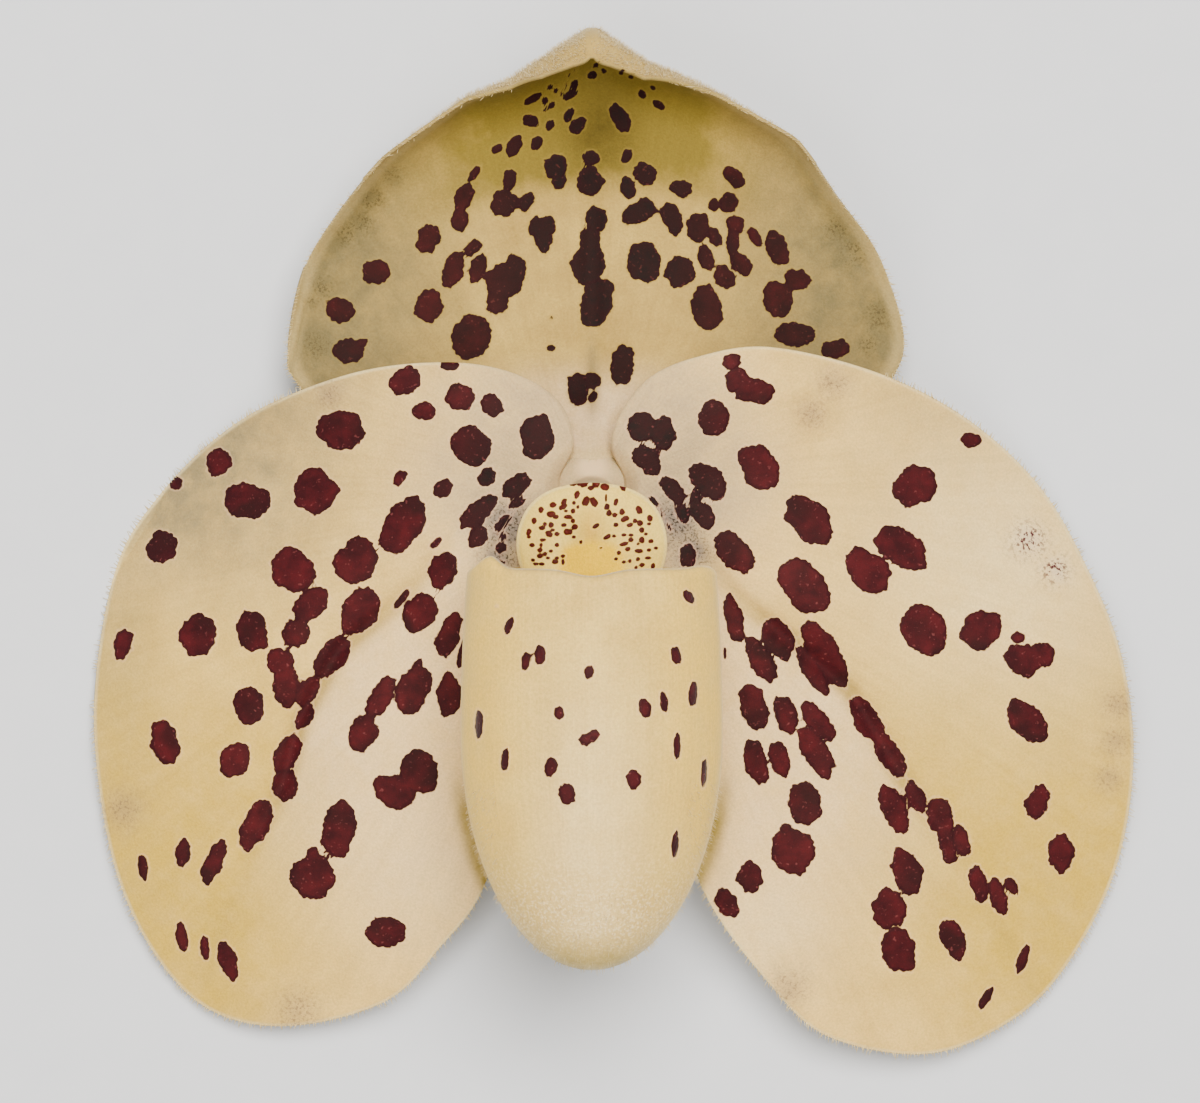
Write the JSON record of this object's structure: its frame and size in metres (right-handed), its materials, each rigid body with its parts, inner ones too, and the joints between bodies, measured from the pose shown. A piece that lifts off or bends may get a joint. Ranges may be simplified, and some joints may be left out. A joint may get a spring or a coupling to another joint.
{
  "type": "slipper orchid flower",
  "caption": "Spotted slipper orchid flower, picked with a short stalk and lying on its back: hooded sepal over two broad petals and a hanging pouch.",
  "frame": {"origin": "bottom centre of the flower's box, on the surface that it lies on", "axes": "+Z out of the flower's face, +Y towards its dorsal sepal, +X to the right of someone looking at its face"},
  "size_m": [0.0746, 0.0748, 0.027],
  "materials": {
    "sepal": "matt olive-cream sepal tissue with maroon spots and short hairs",
    "petal": "matt cream petal tissue with maroon spots and a hairy margin",
    "pouch": "satin cream tissue with very short down",
    "column": "satin pale cream tissue",
    "staminode": "satin cream tissue, yellow in the middle, with fine maroon dots",
    "pollen": "sticky yellow pollen",
    "stalk": "matt green stalk tissue with short hairs",
    "bract": "matt green leaf-like bract with a hairy margin"
  },
  "bodies": {
    "root": {"dorsal_sepal": "sepal", "synsepal": "sepal", "petal_left": "petal", "petal_right": "petal", "lip_pouch": "pouch", "column": "column", "staminode": "staminode", "anther_left": "pollen", "anther_right": "pollen", "ovary": "stalk", "bract": "bract", "scape": "stalk"}
  },
  "joints": []
}
